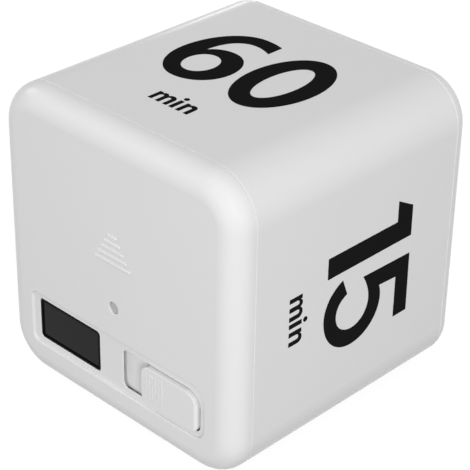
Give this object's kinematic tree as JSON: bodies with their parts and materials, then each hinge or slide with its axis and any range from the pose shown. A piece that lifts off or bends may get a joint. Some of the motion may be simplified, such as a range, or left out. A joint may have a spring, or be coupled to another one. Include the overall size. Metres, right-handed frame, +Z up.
{
  "type": "cube timer",
  "caption": "Cube desk timer with a printed time on each side, a small display, a slide switch and a pull-off front cover over its cells; turning it rolls a ball in its tilt sensor.",
  "frame": {"origin": "middle of the bottom face", "axes": "+Z up, +X right seen from the front, -Y out of the front face that holds the display"},
  "size_m": [0.063, 0.0635, 0.063],
  "materials": {
    "housing_white": "moulded white ABS with a soft gloss",
    "knob_white": "moulded white ABS with a soft gloss",
    "bezel_black": "moulded black ABS",
    "window_dark": "smoked clear acrylic, polished",
    "display_glass": "display glass with a grey reflector",
    "zebra_rubber": "layered conductive rubber",
    "board_green": "fibreglass board with green lacquer",
    "screw_steel": "zinc plated steel",
    "switch_metal": "folded tinned steel",
    "nylon_black": "moulded black nylon",
    "phenolic_brown": "phenolic paper board",
    "contact_bronze": "phosphor bronze strip",
    "pin_tin": "tinned wire",
    "led_red": "red tinted clear resin",
    "pipe_milky": "milky clear acrylic",
    "sensor_black": "moulded black plastic",
    "ball_steel": "polished steel ball, gold flashed on better sensors",
    "resin_black": "poured black epoxy resin",
    "crystal_can": "drawn tinned can",
    "chip_ceramic": "small ceramic components with tinned ends",
    "capacitor_sleeve": "printed plastic sleeve on an aluminium can",
    "cell_jacket": "printed film on a steel can",
    "spring_steel": "nickel plated spring wire",
    "contact_nickel": "nickel plated steel strip",
    "lead_red": "red vinyl insulation",
    "lead_black": "black vinyl insulation",
    "buzzer_brass": "rolled brass sheet",
    "ceramic_silver": "silvered piezo ceramic"
  },
  "bodies": {
    "chassis": {"housing_sleeve": "housing_white", "rear_cover": "housing_white", "inner_frame": "housing_white", "frame_screws": "screw_steel", "main_board": "board_green", "board_screws": "screw_steel", "lcd_bezel": "bezel_black", "lcd_window": "window_dark", "lcd_cell": "display_glass", "zebra_strips": "zebra_rubber", "switch_case": "switch_metal", "switch_base": "phenolic_brown", "switch_terminals": "pin_tin", "alarm_led": "led_red", "led_legs": "pin_tin", "light_pipe": "pipe_milky", "tilt_case": "sensor_black", "tilt_cover": "sensor_black", "tilt_pins": "pin_tin", "controller_blob": "resin_black", "clock_crystal": "crystal_can", "chip_components": "chip_ceramic", "supply_capacitor": "capacitor_sleeve", "upper_cell": "cell_jacket", "lower_cell": "cell_jacket", "upper_spring": "spring_steel", "lower_spring": "spring_steel", "link_contact": "contact_nickel", "positive_contact": "contact_nickel", "negative_contact": "contact_nickel", "red_lead": "lead_red", "black_lead": "lead_black", "buzzer_disc": "buzzer_brass", "buzzer_ceramic": "ceramic_silver", "buzzer_red_lead": "lead_red", "buzzer_black_lead": "lead_black"},
    "front_cover": {"front_cover": "housing_white"},
    "switch_slider": {"switch_knob": "knob_white", "switch_lever": "nylon_black", "switch_wiper": "contact_bronze"},
    "tilt_ball": {"tilt_ball": "ball_steel"}
  },
  "joints": [
    {"name": "cover_pull", "type": "slide", "parent": "chassis", "child": "front_cover", "axis": [0, -1, 0], "range_m": [0, 0.035]},
    {"name": "switch_slide", "type": "slide", "parent": "chassis", "child": "switch_slider", "axis": [1, 0, 0], "range_m": [-0.004, 0]},
    {"name": "tilt_ball_roll", "type": "hinge", "parent": "chassis", "child": "tilt_ball", "pos_m": [0, -0.01745, 0.0177], "axis": [0, 1, 0], "continuous": true}
  ]
}
